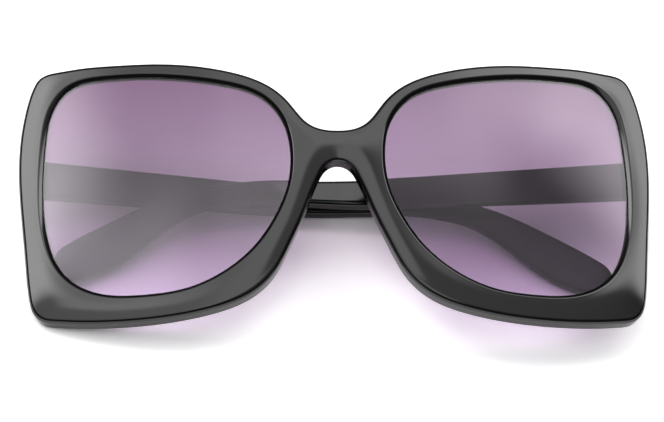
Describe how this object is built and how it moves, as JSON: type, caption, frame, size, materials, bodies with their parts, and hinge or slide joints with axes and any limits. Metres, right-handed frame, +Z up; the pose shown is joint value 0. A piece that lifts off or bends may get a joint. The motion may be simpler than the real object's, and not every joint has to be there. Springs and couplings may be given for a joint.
{
  "type": "square sunglasses",
  "caption": "Oversize square sunglasses with a curved glossy front, graduated tinted lenses, nose pads and folding temples on barrel hinges.",
  "frame": {"origin": "middle of the bounding box on the surface that the folded glasses lie on", "axes": "+X along the front from the viewer's left to the viewer's right, +Y towards the top of the front, +Z up from the surface"},
  "size_m": [0.1488, 0.0662, 0.0333],
  "materials": {
    "black_acetate": "polished black",
    "tinted_lens": "polished, see-through plum tint that fades downwards",
    "pad_acetate": "polished black",
    "hinge_steel": "plain steel"
  },
  "bodies": {
    "front": {"front_frame": "black_acetate", "lens_left": "tinted_lens", "lens_right": "tinted_lens", "nose_pad_left": "pad_acetate", "nose_pad_right": "pad_acetate", "hinge_front_leaf_left": "hinge_steel", "hinge_front_leaf_right": "hinge_steel", "hinge_screw_left": "hinge_steel", "hinge_screw_right": "hinge_steel"},
    "left_temple": {"temple_left": "black_acetate", "temple_core_left": "hinge_steel", "hinge_temple_leaf_left": "hinge_steel"},
    "right_temple": {"temple_right": "black_acetate", "temple_core_right": "hinge_steel", "hinge_temple_leaf_right": "hinge_steel"}
  },
  "joints": [
    {"name": "left_hinge", "type": "hinge", "parent": "front", "child": "left_temple", "pos_m": [-0.07058, 0.00939, 0.00902], "axis": [-0.013, 0.9687, 0.2479], "range_deg": [0, 88.3]},
    {"name": "right_hinge", "type": "hinge", "parent": "front", "child": "right_temple", "pos_m": [0.07098, 0.00939, 0.01643], "axis": [0.013, -0.9687, -0.2479], "range_deg": [0, 91.7]}
  ]
}
